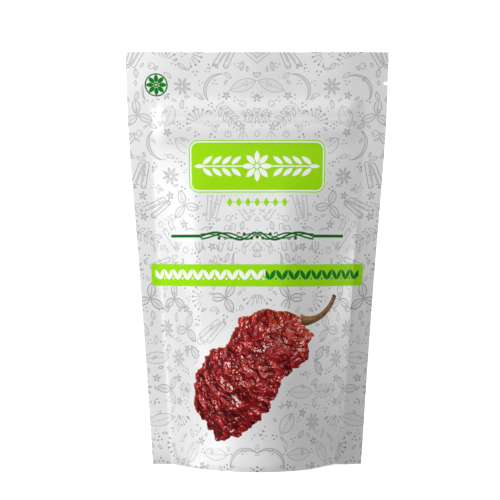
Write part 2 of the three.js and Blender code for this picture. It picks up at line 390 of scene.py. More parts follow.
def drawnStar(place, arms=8, away=2.6, arm=(2.1, 0.66), seedSpot=(0, -0.2), seed=(0.95, 0.27), tone=0.45):
    spot = fromSpot(aroundCentre(place, arms), (0, away))
    hollow = inkFill(leafEdge(fromSpot(spot, seedSpot), *seed))
    return both(inkFill(leafEdge(spot, *arm)), node(ranges, hollow, 0.0, 1.0, 1.0, tone))


def drawnSprig(place, pitch=3.5, spot=(1.8, 0.1), lean=48, leaf=(2.1, 0.75), line=0.16, stem=0.14, end=7.05):
    x, y = node(splits, place).node.outputs[:2]
    repeated = node(joins, node("ABSOLUTE", x), node("WRAP", y, pitch / 2, -pitch / 2))
    leaves = inkLine(leafEdge(fromSpot(repeated, spot, lean), *leaf), line)
    return both(atLeast(leaves, inkLine(x, stem)), below(node("ABSOLUTE", y), end))


def drawnTrefoil(place, away=4.1, leaf=(3.7, 1.9), veins=1.3):  # three ribbed leaves that meet at a point
    return drawnLeaf(fromSpot(aroundCentre(place, 3), (0, away)), leaf, veins)


def drawnUmbel(place, rays=17, root=(0, -3.6), fan=2.0, length=6.4, dotSpot=(0, 6.7), dot=0.5, line=0.13):
    raised = fromSpot(place, root)  # a seed head of fine rays that end in dots
    ray = aroundCentre(raised, rays)
    x, y = node(splits, ray).node.outputs[:2]
    stalk = both(inkLine(x, line), below(y, length))
    head = inkFill(discEdge(fromSpot(ray, dotSpot), dot))
    return both(atLeast(stalk, head), above(node(splits, raised, out=1), fan, 0.2))


def drawnBean(place, outer=(-4.4, 8.0), inner=(-6.6, 8.9), line=0.18, tone=0.25):  # a slender, bent pod
    back, hollow = [discEdge(fromSpot(place, (x, 0)), radius) for x, radius in (outer, inner)]
    edge = node("MAXIMUM", back, node("MULTIPLY", hollow, -1.0))
    return atLeast(inkLine(edge, line), both(inkFill(edge), tone))


def drawnStick(place, half=(1.15, 6.6), corner=0.8, line=0.18, endSpot=(0, 5.9), end=0.95, endSquash=1.7,
               endLine=0.14, grainSpot=(-0.45, -1.0), grain=(0.14, 4.6)):  # a rolled stick of bark
    squashed = node("vector MULTIPLY", fromSpot(place, endSpot), (1, endSquash, 1))
    ring = inkLine(discEdge(squashed, end), endLine)
    streak = inkFill(boxEdge(fromSpot(place, grainSpot), grain, 0.1))
    return atLeast(inkLine(boxEdge(place, half, corner), line), ring, streak)


def drawnBundle(place, apart=1.9, higher=0.8, lean=6):  # two sticks that lean together, one a little higher
    x, y = node(splits, place).node.outputs[:2]
    side = node(joins, node("ABSOLUTE", x), node("MULTIPLY_ADD", node("SIGN", x), higher, y))
    return drawnStick(fromSpot(side, (apart, 0), lean))


def drawnSeed(place, size=(2.2, 0.95), line=0.17, rib=0.1):
    edge = leafEdge(place, *size)
    middle = both(inkLine(node(splits, place), rib), inkFill(edge))
    return atLeast(inkLine(edge, line), middle)


def drawnCorn(place, radius=1.5, line=0.17, eyeSpot=(0.4, 0.5), eye=0.38):  # a round berry with its eye
    spot = inkFill(discEdge(fromSpot(place, eyeSpot), eye))
    return atLeast(inkLine(discEdge(place, radius), line), spot)


def drawnBlossom(place, petals=5, away=1.25, petal=(1.0, 0.5), tone=0.8):
    spot = fromSpot(aroundCentre(place, petals), (0, away))
    return both(inkFill(leafEdge(spot, *petal)), tone)


def drawnGrains(place, count=3, away=1.1, grain=0.42):
    return inkFill(discEdge(fromSpot(aroundCentre(place, count), (0, away)), grain))


def drawnFleck(place, size=(1.2, 0.5), line=0.15):
    return inkLine(leafEdge(place, *size), line)


def motifGroup(name, *drawings):  # a node group that draws one of several motifs, chosen by its number
    tree, source = newGroup(name, "Shader", {"Place": "Vector", "Kind": "Float"}, {"Ink": "Float"})
    chosen = [both(drawing(source["Place"]), node("COMPARE", source["Kind"], float(number), 0.5))
              for number, drawing in enumerate(drawings)]
    node("NodeGroupOutput", atLeast(*chosen))
    return tree, len(drawings)


def motifField(place, group, kinds, cell, jitter, shift, seed):  # motifs scattered over jittered cells
    moved = node("vector ADD", place, (*shift, 0))
    row = node(splits, node("vector SNAP", moved, (cell,) * 3), out=1)
    brick = node(joins, node("MULTIPLY", node("WRAP", row, 2.0 * cell, 0.0), 0.5))
    staggered = node("vector ADD", moved, brick)
    corner = node("vector SNAP", staggered, (cell,) * 3)
    seeded = node("vector ADD", corner, (seed * 7.3, seed * 3.1, 0))
    random = node("ShaderNodeTexWhiteNoise", seeded, noise_dimensions="3D").node.outputs
    draws = node("ShaderNodeSeparateColor", random["Color"]).node.outputs
    fromCorner = node("vector SUBTRACT", staggered, corner)
    middle = node("vector SUBTRACT", fromCorner, (cell / 2, cell / 2, 0))
    nudge = node(joins, *[node(ranges, draw, 0.0, 1.0, -jitter, jitter) for draw in draws[:2]])
    centred = node("vector SUBTRACT", middle, nudge)
    angle = node("MULTIPLY", draws[2], 2 * math.pi)
    turned = node(turns, centred, named={"Angle": angle}, rotation_type="Z_AXIS")
    local = node("vector MULTIPLY", turned, (1, 1, 0))
    kind = node("FLOOR", node("MULTIPLY", random["Value"], float(kinds)))
    drawing = node("ShaderNodeGroup", node_tree=group, named={"Place": local, "Kind": kind})
    return both(drawing, node(ranges, draws[0], 0.0, 1.0, *label["motifTones"]))


longLeaf = partial(drawnLeaf, size=(6.8, 2.9), veins=1.6)
broadLeaf = partial(drawnLeaf, size=(5.4, 3.3), veins=2.2)
largeMotifs = motifGroup("largeMotifs", longLeaf, broadLeaf, drawnStar, drawnBundle, drawnSprig, drawnTrefoil,
                         drawnBean, drawnBundle, drawnUmbel, drawnTrefoil)
smallMotifs = motifGroup("smallMotifs", drawnSeed, drawnCorn, drawnSeed, drawnBlossom, drawnGrains)
specks = motifGroup("specks", drawnGrains, drawnFleck)
print("print motifs ready")


def paint(under, over, mask):  # one colour over another where the mask is 1
    colours = [linear(colour) if isinstance(colour, str) else colour for colour in (under, over)]
    return node("ShaderNodeMix", mask, data_type="RGBA", named={6: colours[0], 7: colours[1]}, out=2)


def ramped(share, stops):  # a colour ramp through places from 0 to 1
    ramp = node("ShaderNodeValToRGB", share)
    elements = ramp.node.color_ramp.elements
    while len(elements) < len(stops):
        elements.new(0.5)
    for element, (place, colour) in zip(elements, stops):
        element.position = place
        element.color = linear(colour)
    return ramp


def curved(share, spots):  # a curve through the given spots
    made = node("ShaderNodeFloatCurve", 1.0, share)
    points = made.node.mapping.curves[0].points
    for spot in spots[1:-1]:
        points.new(*spot)
    for point, spot in zip(points, spots):
        point.location = spot
    made.node.mapping.update()
    return made


# A ring of petals round a small ring; its sizes are shares of its radius
def rosettePrint(place, petals=8, away=0.58, petal=(0.38, 0.2), rings=(0.15, 1.0), ringHalf=0.36):
    radius = label["rosetteRadius"]
    spot = fromSpot(aroundCentre(place, petals), (0, away * radius))
    lines = [inkLine(discEdge(place, share * radius), ringHalf) for share in rings]
    return atLeast(inkFill(leafEdge(spot, *[share * radius for share in petal])), *lines)


garland = {
    "pitch": 4.9, "firstLeaf": (10.5, 0), "leafSpot": (0.2, 2.9), "leafLean": -52, "leaf": (3.3, 1.15),
    "leavesFrom": 8.2, "leavesTo": 27.7, "stemHalf": 0.32, "stemTo": 28.8, "tip": (29.4, 0),
    "tipLeaf": (2.7, 1.0), "petals": 8, "petalSpot": (0, 4.6), "petal": (3.1, 1.35), "heart": 1.15,
    "heartGap": 0.45,
}


def garlandPrint(place):  # a blossom with a leafy branch to each side
    folded = node("vector ABSOLUTE", place)
    x, y = node(splits, folded).node.outputs[:2]
    repeated = inRow(fromSpot(folded, garland["firstLeaf"]), garland["pitch"])
    pair = fromSpot(repeated, garland["leafSpot"], garland["leafLean"])
    along = both(above(x, garland["leavesFrom"]), below(x, garland["leavesTo"]))
    leaves = both(inkFill(leafEdge(pair, *garland["leaf"])), along)
    stem = both(inkLine(y, garland["stemHalf"]), below(x, garland["stemTo"], 0.2))
    tip = inkFill(leafEdge(fromSpot(folded, garland["tip"], 90), *garland["tipLeaf"]))
    petal = fromSpot(aroundCentre(place, garland["petals"]), garland["petalSpot"])
    blossom = inkFill(leafEdge(petal, *garland["petal"]))
    heart = discEdge(place, garland["heart"])
    gap = above(heart, garland["heartGap"], 0.05)
    return atLeast(leaves, both(stem, gap), tip, both(blossom, gap), inkFill(heart))


def lozengePrint(place, count=7, half=(1.5, 2.3), soft=0.04, dot=0.42):  # a row of lozenges with dots between
    end = label["captionHalf"][0]
    pitch = 2 * end / count
    folded = node("vector ABSOLUTE", inRow(place, pitch))
    shape = node("vector DOT_PRODUCT", folded, (1 / half[0], 1 / half[1], 0), out=1)
    lozenge = below(shape, 1 + soft, 2 * soft)
    between = inRow(fromSpot(place, (pitch / 2, 0)), pitch)
    within = below(node("ABSOLUTE", node(splits, place)), end)
    return both(atLeast(lozenge, inkFill(discEdge(between, dot))), within)


scroll = {
    "half": 28.6, "halfWaves": 3,
    "stretch": 0.58,  # below 1 the waves grow longer towards the ends
    "strokes": ((1.75, 0.0, 0.52), (1.5, 1.25, 0.42), (1.1, -1.1, 0.3)),  # height, lead and half thickness
    "dots": (((19.2, -1.0), 0.85), ((6.5, 1.0), 0.85), ((2.8, -1.0), 0.8), ((0, -0.4), 0.85),
             ((25.0, 1.0), 0.5), ((28.6, 0.7), 0.45), ((28.6, -0.7), 0.45)),
    "hooks": (((15.9, -0.8), -1.0), ((9.3, 1.0), 1.0)),  # where they are, and which way they open
    "hookRadius": 0.75, "hookHalf": 0.26, "hookFrom": -0.3, "bar": (19.2, 0.2), "barHalf": (0.24, 1.2),
    "barCorner": 0.1, "ruleHalf": 0.72, "ruleCorner": 0.3,
}


def scrollPrint(place):  # two rules with a scroll of waving strokes, hooks and dots between them
    folded = mirrorX(place)
    side, y = node(splits, folded).node.outputs[:2]
    half = scroll["half"]
    share = node("POWER", node(ranges, side, 0.0, half), scroll["stretch"])
    phase = node("MULTIPLY", share, scroll["halfWaves"] * math.pi)
    marks = []
    for height, lead, thick in scroll["strokes"]:
        swing = node("MULTIPLY", node("SINE", node("ADD", phase, lead)), height)
        edge = node("SUBTRACT", node("ABSOLUTE", node("SUBTRACT", swing, y)), thick)
        marks.append(both(inkFill(edge), below(side, half)))
    for spot, radius in scroll["dots"]:
        marks.append(inkFill(discEdge(fromSpot(folded, spot), radius)))
    for spot, way in scroll["hooks"]:
        hook = fromSpot(folded, spot)
        opening = above(node("MULTIPLY", node(splits, hook, out=1), way), scroll["hookFrom"], 0.2)
        ring = inkLine(discEdge(hook, scroll["hookRadius"]), scroll["hookHalf"])
        marks.append(both(ring, opening))
    end = label["dividerHalf"][0]
    rule = ((end + half) / 2, 0), ((end - half) / 2, scroll["ruleHalf"]), scroll["ruleCorner"]
    for spot, size, corner in ((scroll["bar"], scroll["barHalf"], scroll["barCorner"]), rule):
        marks.append(inkFill(boxEdge(fromSpot(folded, spot), size, corner)))
    return atLeast(*marks)


def bandLeaves(place, pitch=6.1, spot=(1.45, 0.3), lean=28, leaf=(2.9, 1.1), dotDrop=-1.6, dot=0.5):
    side = mirrorX(inRow(place, pitch))  # pairs of leaves with a dot between the pairs
    leaves = inkFill(leafEdge(fromSpot(side, spot, lean), *leaf))
    between = inRow(fromSpot(place, (pitch / 2, dotDrop)), pitch)
    within = inkFill(boxEdge(place, label["bandLeavesHalf"], 0.2))
    return both(atLeast(leaves, inkFill(discEdge(between, dot))), within)


# The pictured pod and its stem, in millimetres on the flat film; scales are per millimetre
picture = {
    "place": (-5.5, 47.4), "halfLength": 37.6, "halfWidth": 19.8, "tilt": 39,
    "outline": ((0, 0.4), (0.1, 0.67), (0.2, 0.87), (0.33, 1.0), (0.45, 0.99), (0.6, 0.79), (0.68, 0.88),
                (0.77, 0.9), (0.86, 0.77), (0.94, 0.57), (1, 0.1)),  # half width from the tip to the shoulder
    "bow": 60.0,
    "bowFrom": 0.65,  # share of the length where the bow starts
    "endLean": 0.15,  # slope of the blunt lower end
    "endTrim": 4.6, "endPast": 0.4, "cornerRound": 3.0, "rippleScale": 0.18, "rippleReach": 2.0,
    "flankApart": 40.0,  # keeps the two flanks' ripples apart
    "halo": 4.0, "haloSoft": 0.6, "foldSize": 11, "foldDepth": 1.3,
    "foldWarp": (0.1, 12),  # scale and reach
    "bumpSize": 2.5, "bumpDepth": 1.7, "bumpTwist": (0.35, 4),
    "bumpShares": (-0.5, -1.15),  # of the depth, from smooth patches to rough ones
    "patchScale": 0.12, "grainSize": 1.0, "grainDepth": 0.4, "slopeStep": 0.25, "roundAcross": 0.8,
    "roundAlong": 0.9,
    "light": (0.05, 0.62, 0.78),  # from beyond the stem
    "litShare": 0.72, "heightShare": 0.3, "heights": (-0.6, 1.4), "fleckScale": 0.16, "fleckShare": 0.5,
    "skin": ((0.12, "#2b0607"), (0.3, "#4e0b0d"), (0.45, "#6e1014"), (0.6, "#8a171b"), (0.74, "#9c1c1f"),
             (0.84, "#b32727"), (0.93, "#c93a34"), (1.0, "#d95a50")),
    "warm": "#e0642a",
    "rim": "#c8481f",
    "glint": "#ffffff",
}
stalk = {
    "centre": (24.1, 90.8),  # of the arc that it follows
    "radius": 19.0, "from": -100, "to": -21, "halfWidth": 3.5,
    "profile": ((0, 1), (0.3, 0.52), (0.65, 0.4), (1, 0.38)), "grainScale": 1.1, "grainStretch": 8.0,
    "roundShade": 0.14,
    "bark": ((0.1, "#bd915a"), (0.45, "#8a643d"), (0.75, "#62452c"), (1.0, "#3a281a")),
    "cut": "#2c2018",
}


def podRelief():  # a node group: the height of the pictured pod's folds and bumps, in millimetres
    tree, source = newGroup("podRelief", "Shader", {"Place": "Vector"}, {"Height": "Float"})
    place = source["Place"]
    pulled = []
    for scale, reach in (picture["foldWarp"], picture["bumpTwist"]):
        warp = node(noises, named={"Vector": place, "Scale": scale, "Detail": 2.0}, out=1)
        pulled.append(node("vector MULTIPLY_ADD", warp, (reach, reach, 0), place))
    flat = {"noise_dimensions": "2D"}
    folds = node(noises, noise_type="RIDGED_MULTIFRACTAL", **flat, named={
        "Vector": pulled[0], "Scale": 1 / picture["foldSize"], "Detail": 3.0, "Offset": 0.9, "Gain": 1.5})
    bumps = node("ShaderNodeTexVoronoi", feature="SMOOTH_F1", voronoi_dimensions="2D", named={
        "Vector": pulled[1], "Scale": 1 / picture["bumpSize"], "Smoothness": 0.3})
    grain = node(noises, **flat,
                 named={"Vector": pulled[1], "Scale": 1 / picture["grainSize"], "Detail": 1.0})
    patch = node(noises, **flat, named={"Vector": place, "Scale": picture["patchScale"], "Detail": 1.0})
    depths = [share * picture["bumpDepth"] for share in picture["bumpShares"]]
    rough = node(ranges, patch, 0.35, 0.65, *depths)
    height = node("MULTIPLY_ADD", folds, picture["foldDepth"], node("MULTIPLY", grain, picture["grainDepth"]))
    node("NodeGroupOutput", node("MULTIPLY_ADD", bumps, rough, height))
    return tree


def podPrint(flat):  # a picture of one dried, crinkled pod: the distance from its edge, and its colours
    length = picture["halfLength"]
    place = fromSpot(flat, picture["place"], picture["tilt"])
    x, y = node(splits, place).node.outputs[:2]
    along = node(ranges, y, -length, length)
    half = node("MULTIPLY", curved(along, picture["outline"]), picture["halfWidth"])
    past = node("MAXIMUM", node("SUBTRACT", along, picture["bowFrom"]), 0.0)
    bowed = node("MULTIPLY_ADD", node("POWER", past, 2.0), -picture["bow"], x)
    flank = node("MULTIPLY", node("SIGN", bowed), picture["flankApart"])
    ripples = [node(noises, noise_dimensions="2D",
                    named={"Vector": spot, "Scale": picture["rippleScale"], "Detail": 2.0})
               for spot in (node(joins, flank, y), place)]
    reach = picture["rippleReach"]
    side = node("ADD", half, node(ranges, ripples[0], 0.25, 0.75, -reach, reach))
    beside = node("SUBTRACT", node("ABSOLUTE", bowed), side)
    trim = picture["endTrim"] / 2
    end = length + picture["endPast"] - trim
    leaning = node("vector DOT_PRODUCT", place, (picture["endLean"], 1, 0), out=1)
    fromMiddle = node("ABSOLUTE", node("SUBTRACT", leaning, trim))
    beyond = node("SUBTRACT", fromMiddle, node(ranges, ripples[1], 0.25, 0.75, end - reach, end + reach))
    edge = node("SMOOTH_MAX", beside, beyond, picture["cornerRound"])
    # Its own light and shade, as in a photograph of a pod lit from beyond its stem
    step = picture["slopeStep"]
    relief = podRelief()
    heights = [node("ShaderNodeGroup", node("vector ADD", place, (*by, 0)), node_tree=relief)
               for by in ((0, 0), (step, 0), (0, step))]
    slopes = [node("MULTIPLY", node("SUBTRACT", heights[0], moved), 1 / step) for moved in heights[1:]]
    across = node("DIVIDE", bowed, node("ADD", half, 3.0))
    slopeX = node("MULTIPLY_ADD", across, picture["roundAcross"], slopes[0])
    slopeY = node("MULTIPLY_ADD", node("SUBTRACT", along, 0.5), picture["roundAlong"], slopes[1])
    facing = node("vector NORMALIZE", node(joins, slopeX, slopeY, 1.0))
    light = Vector(picture["light"]).normalized()
    halfway = (light + Vector((0, 0, 1))).normalized()
    lit, mirror = [node("vector DOT_PRODUCT", facing, tuple(way), out=1) for way in (light, halfway)]
    raised = node("MULTIPLY", node(ranges, heights[0], *picture["heights"]), picture["heightShare"])
    shade = node("MULTIPLY_ADD", lit, picture["litShare"], raised)
    fleck = node(noises, noise_dimensions="2D",
                 named={"Vector": place, "Scale": picture["fleckScale"], "Detail": 1.0})
    flecked = picture["fleckShare"]
    tone = node("MULTIPLY_ADD", fleck, flecked, node("SUBTRACT", shade, flecked / 2))
    masks = {
        "warm": both(node(ranges, along, 0.72, 1.0, 0.0, 0.6), node(ranges, lit, 0.75, 1.0)),
        "rim": both(node(ranges, edge, -2.0, -0.3, 0.0, 0.5), node(ranges, bowed, 0.0, -8.0)),
        "glint": both(node(ranges, mirror, 0.968, 0.984), node(ranges, fleck, 0.44, 0.56, 0.2, 1.0)),
    }
    colour = ramped(tone, picture["skin"])
    for name, mask in masks.items():
        colour = paint(colour, picture[name], mask)
    return edge, colour


def stemPrint(flat):  # the pod's bent, brown stem: where it is, and its colours
    place = fromSpot(flat, stalk["centre"])
    x, y = node(splits, place).node.outputs[:2]
    angle = node("ARCTAN2", y, x)
    low, high = math.radians(stalk["from"]), math.radians(stalk["to"])
    along = node(ranges, angle, low, high)
    across = discEdge(place, stalk["radius"])
    half = node("MULTIPLY", curved(along, stalk["profile"]), stalk["halfWidth"])
    edge = node("SUBTRACT", node("ABSOLUTE", across), half)
    ends = both(above(angle, low, 0.01), below(angle, high + 0.005, 0.005))
    grainPlace = node(joins, across, node("MULTIPLY", angle, stalk["grainStretch"]))
    grain = node(noises, noise_dimensions="2D",
                 named={"Vector": grainPlace, "Scale": stalk["grainScale"], "Detail": 3.0})
    brown = ramped(node("MULTIPLY_ADD", across, stalk["roundShade"], grain), stalk["bark"])
    cut = node(ranges, along, 0.95, 0.97, 0.0, 0.7)
    return both(inkFill(edge), ends), paint(brown, stalk["cut"], cut)


def finish(grain, roughness, strength, depth):  # roughness and bumps that follow a grain
    bump = node("ShaderNodeBump", named={"Strength": strength, "Distance": depth * mm, "Height": grain})
    return {"Roughness": node(ranges, grain, 0.3, 0.7, *roughness), "Normal": bump}


# White ink over metallised polyester film, printed and laminated: a pearly satin with flat, crisp colours
def printedFilm(tree, side):
    flat = node("ShaderNodeUVMap", uv_map="filmFlat", tree=tree)
    mirrored = node("vector ABSOLUTE", flat)  # the line-work's halves mirror each other
    cell = label["motifCell"]
    far = 20 * cell  # keeps the cells' corners above 0
    seed = label["motifSeeds"][side]
    lines = atLeast(
        motifField(mirrored, *largeMotifs, cell, 0.6, (far, far), seed),
        motifField(mirrored, *smallMotifs, cell, 0.9, (far + cell / 2, far + 3 * cell / 8), 8),
        motifField(mirrored, *smallMotifs, cell, 0.9, (far + cell / 2, far - 3 * cell / 8), 9),
        motifField(mirrored, *specks, label["speckCell"], 1.8, (far, far + 2), 12),
    )
    names = ("divider", "band", "plaque", "caption", "rosette")
    divider, band, plaque, caption, rosette = [fromSpot(flat, label[name]) for name in names]
    bandMask = inkFill(boxEdge(band, label["bandHalf"], label["bandCorner"]))
    scrollMask = scrollPrint(divider)
    clear = [above(boxEdge(divider, label["dividerHalf"], 0.5), 0.6, 0.4)]
    cover = [bandMask, scrollMask]
    inks = [("lime", bandMask), ("rule", scrollMask)]
    if side == "front":
        podEdge, podSkin = podPrint(flat)
        stemMask, stemSkin = stemPrint(flat)
        podMask = inkFill(podEdge)
        plaqueEdge = boxEdge(plaque, label["plaqueHalf"], label["plaqueCorner"])
        plaqueMask = inkFill(plaqueEdge)
        keyline = inkLine(node("ADD", plaqueEdge, label["keylineInset"]), label["keylineHalf"])
        leaves = bandLeaves(band)
        turned = above(node(splits, band), label["bandTurn"] - 0.1, 0.2)
        lozenges, petals = lozengePrint(caption), rosettePrint(rosette)
        clear += [
            above(plaqueEdge, 0.9, 0.4),
            above(boxEdge(caption, label["captionHalf"], 1.0), 0.5, 0.4),
            above(discEdge(rosette, label["rosetteRadius"]), 1.0, 0.4),
            above(podEdge, picture["halo"] - picture["haloSoft"], 2 * picture["haloSoft"]),
        ]
        cover += [plaqueMask, podMask, stemMask, lozenges, petals]
        inks += [("white", leaves), ("green", both(leaves, turned)), ("lime", plaqueMask),
                 ("white", keyline), ("white", garlandPrint(plaque)), ("lime", lozenges), ("green", petals)]
    colour = paint(ink["film"], ink["line"], both(lines, *clear))
    for name, mask in inks:
        colour = paint(colour, ink[name], mask)
    if side == "front":
        colour = paint(paint(colour, stemSkin, stemMask), podSkin, podMask)
    inked = atLeast(*cover)
    grain = node(noises, named={"Vector": flat, "Scale": 0.8, "Detail": 2.0})  # 1.25 mm laminate ripple
    return {
        "Base Color": colour,
        "Metallic": node(ranges, inked, 0.0, 1.0, 0.08, 0.0),
        **finish(grain, (0.36, 0.43), 0.12, 0.05),
        "IOR": 1.5,
        "Specular IOR Level": node(ranges, inked, 0.0, 1.0, 0.5, 0.05),  # solid ink under matt varnish
        "Coat Weight": node(ranges, inked, 0.0, 1.0, 0.1, 0.0),
        "Coat Roughness": 0.22,
    }


# Vacuum-metallised film, unprinted: a soft silver with faint rolling marks across the web
def bareFilm(tree, tone, metallic, roughness):
    flat = node("ShaderNodeUVMap", uv_map="filmFlat", tree=tree)
    web = node("vector MULTIPLY", flat, (0.05, 1.4, 0))  # marks about 0.7 mm apart and 20 mm long
    streak = node(noises, named={"Vector": web, "Scale": 1.0, "Detail": 2.0})
    return {
        "Base Color": paint(tone, "#a9a9ac", node(ranges, streak, 0.35, 0.65, 0.0, 0.12)),
        "Metallic": metallic,
        **finish(streak, (roughness - 0.04, roughness + 0.05), 0.1, 0.05),
    }


# Low-density polythene, extruded: milky and waxy, with fine draw lines along the strip
def zipPlastic(tree):
    place = node("ShaderNodeTexCoord", out=3, tree=tree)
    lines = node("vector MULTIPLY", place, (0.02 / mm, 2.2 / mm, 2.2 / mm))  # draw lines 0.45 mm apart
    drawn = node(noises, named={"Vector": lines, "Scale": 1.0, "Detail": 2.0})
    return {
        "Base Color": paint("#f3f3ee", "#e2e2da", drawn),
        **finish(drawn, (0.3, 0.42), 0.2, 0.03),
        "IOR": 1.51,
        "Subsurface Weight": 0.2,
        "Subsurface Radius": (2 * mm, 2 * mm, 2 * mm),
    }


# Dried chilli skin: leathery and glossier on the ridges, with a brown woody stem; its red is painted darker
# in the crinkles' hollows, a painted shade in the creases
def driedSkin(tree):
    place = node("ShaderNodeTexCoord", out=3, tree=tree)
    scale = 0.28 / mm  # 3.6 mm crinkles
    crinkle = node(noises, named={"Vector": place, "Scale": scale, "Detail": 4.0, "Roughness": 0.6})
    # darker red where the crinkle's height is low: painted shade in the creases, from the same noise that
    # makes the bumps
    red = ramped(crinkle, ((0.32, "#470d10"), (0.68, "#a82a24")))
    stem = node("ShaderNodeAttribute", attribute_name="stem", out=2, tree=tree)
    return {
        "Base Color": paint(red, "#725b42", stem),
        **finish(crinkle, (0.55, 0.34), 0.5, 0.4),
        "IOR": 1.47,
    }


# Matt white paper, uncoated: an even, bright ground with a faint fibre
def whitePaper(tree):
    place = node("ShaderNodeTexCoord", out=3, tree=tree)
    fibre = node(noises, named={"Vector": place, "Scale": 0.9 / mm, "Detail": 2.0})  # 1.1 mm
    return {
        "Base Color": paint("#fbfbfb", "#f7f7f7", fibre),
        "Roughness": 0.9,
        "Emission Color": (1, 1, 1, 1),
        "Emission Strength": 0.35,
    }


print("material functions ready")


def shapeTree(name, sizes, shape):  # a Geometry Nodes tree with named inputs that ends in real geometry
    inputs = {"Geometry": "Geometry", **sizes, "Material": "Material"}
    tree, source = newGroup(name, "Geometry", inputs, {"Geometry": "Geometry"})
    real = node("GeometryNodeRealizeInstances", shape(source))
    node("NodeGroupOutput", node("GeometryNodeSetMaterial", real, named={"Material": source["Material"]}))
    return tree


dentSizes = {"Depth": "Float", "Size": "Float", "Seed": "Float"}


def dented(source, geometry, place, free, detail):  # pushed in and out along its normals by noise
    scaled = node("vector DIVIDE", place, source["Size"])
    noise = node(noises, noise_dimensions="4D",
                 named={"Vector": scaled, "W": source["Seed"], "Scale": 1.0, "Detail": detail})
    push = both(node("SUBTRACT", noise, 0.5), source["Depth"], free)
    normal = node("GeometryNodeInputNormal", tree=geometry.id_data)
    offset = node("vector SCALE", normal, named={"Scale": push})
    return node("GeometryNodeSetPosition", geometry, named={"Offset": offset})


# Film panels, with soft dents where the film is slack
slack = {
    "dentDepth": 0.5, "dentSize": 26.0, "seed": 4.0,
    "fromSeal": (0.02, 0.3),  # columns in from the seal where it starts
    "fromBase": (4, 40),
    "nearZip": (150, 162),  # heights where the zip pulls it tight
    "zipHold": 0.75,
}
bake = {"margin": 0.005, "outside": 0.845, "insideFrom": 0.86, "inside": 0.13}  # shares of the square map
sharpAngle = math.radians(50)


def slackFilm(source):
    tree = source["Geometry"].id_data
    flat = node(attributes, "filmFlat", data_type="FLOAT_VECTOR", tree=tree)
    free = node(attributes, "slack", data_type="FLOAT", tree=tree)
    return dented(source, source["Geometry"], flat, free, 1.0)


def spreadForBake(film):  # the outside over most of a square map, the inside in a strip beside it
    flat = np.zeros(len(film.loops) * 2)
    film.uv_layers["filmFlat"].uv.foreach_get("vector", flat)
    flat = flat.reshape(-1, 2)
    share = (flat - flat.min(0)) / (flat.max(0) - flat.min(0))
    sizes = [face.loop_total for face in film.polygons]
    inside = np.repeat([face.material_index == 1 for face in film.polygons], sizes)
    margin = bake["margin"]
    share[:, 0] = np.where(inside, bake["insideFrom"] + bake["inside"] * share[:, 0],
                           margin + bake["outside"] * share[:, 0])
    share[:, 1] = margin + (1 - 2 * margin) * share[:, 1]
    film.uv_layers.new(name="OFBake").uv.foreach_set("vector", share.ravel())


slackGroup = shapeTree("slackFilm", dentSizes, slackFilm)
bareInside = newMaterial("metallised sealing film", bareFilm, "#d6d6d8", 0.75, 0.32)


def finishFilm(made, cadNode, outside):  # its dents, its thickness and its sealing side
    name = made.name
    made.data.materials.append(outside)
    made.data.materials.append(bareInside)
    growNodes(made, slackGroup, {"Depth": slack["dentDepth"] * mm, "Size": slack["dentSize"],
                                 "Seed": slack["seed"], "Material": outside})
    thick = made.modifiers.new("thickness", "SOLIDIFY")
    thick.thickness = pouch["film"] * mm
    thick.offset = -1
    thick.material_offset = 1
    plainPiece(made, name)
    made.data.set_sharp_from_angle(angle=sharpAngle)
    spreadForBake(made.data)
    standsFor(made, cadNode)
    print(name, len(made.data.polygons), "faces")
    return made


def panel(side, name):
    columns = filmColumns()
    notch = [way * (pouch["notchHalf"] - wall) for way in (-1, 1) for wall in (0, pouch["notchWall"])]
    heights = np.concatenate([
        np.arange(0, pouch["height"], grid["rowStep"]), [pouch["height"]],
        pouch["zipHeight"] + np.linspace(*grid["zipRows"]), notchHeight + np.array(notch),
    ])
    heights = np.unique(np.round(heights, 2))
    rows = np.stack([filmRow(columns, z, side, -pouch["film"]) for z in heights])
    across = np.stack([flatX(columns, z) for z in heights])
    flat = np.stack([across * -side, np.repeat(heights[:, None], len(columns), axis=1)], axis=-1)
    tight = 1 - slack["zipHold"] * smooth(heights, *slack["nearZip"])
    upwards = smooth(heights, *slack["fromBase"]) * tight
    free = smooth(1 - np.abs(columns), *slack["fromSeal"])[None, :] * upwards[:, None]
    return gridMesh(name, rows, flat, free, side > 0)


frontFilm = finishFilm(panel(-1, "front_film"), "front_panel",
                       newMaterial("printed film, front", printedFilm, "front"))
backFilm = finishFilm(panel(1, "back_film"), "back_panel",
                      newMaterial("printed film, back", printedFilm, "back"))

# Bottom gusset
gusset = {"weldRows": 14, "freeRows": 18, "slack": 1.03, "leastFree": 2, "edgeHeight": 0.05}


def gussetHalf(columns, side):
    inset = pouch["film"] + pouch["weld"]
    low = gusset["edgeHeight"]
    free = np.maximum(gusset["slack"] * halfRoom(columns, low), gusset["leastFree"])
    weldTop = pouch["gussetDepth"] - free
    edge = filmRow(columns, weldTop, side, inset)
    x = edge[:, 0]
    span = np.minimum(np.abs(edge[:, 1] - wave(x, weldTop)), free)
    foldTop = weldTop + np.sqrt(free ** 2 - span ** 2)
    fold = np.stack([x, wave(x, foldTop) + side * pouch["weld"], foldTop], axis=1)
    welded = [filmRow(columns, low + (weldTop - low) * share, side, inset)
              for share in np.linspace(0, 1, gusset["weldRows"] + 1)]
    crossing = [edge + (fold - edge) * share for share in np.linspace(0, 1, gusset["freeRows"] + 1)[1:]]
    return np.stack(welded + crossing)


def bottomGusset(name):
    columns = filmColumns()
    rows = np.concatenate([gussetHalf(columns, -1), gussetHalf(columns, 1)[::-1]])
    steps = np.linalg.norm(np.diff(rows, axis=0), axis=2)
    along = np.concatenate([np.zeros((1, len(columns))), np.cumsum(steps, axis=0)])
    flat = np.stack([np.broadcast_to(flatX(columns, 0), along.shape), along], axis=-1)
    return gridMesh(name, rows, flat, np.zeros(along.shape), True)


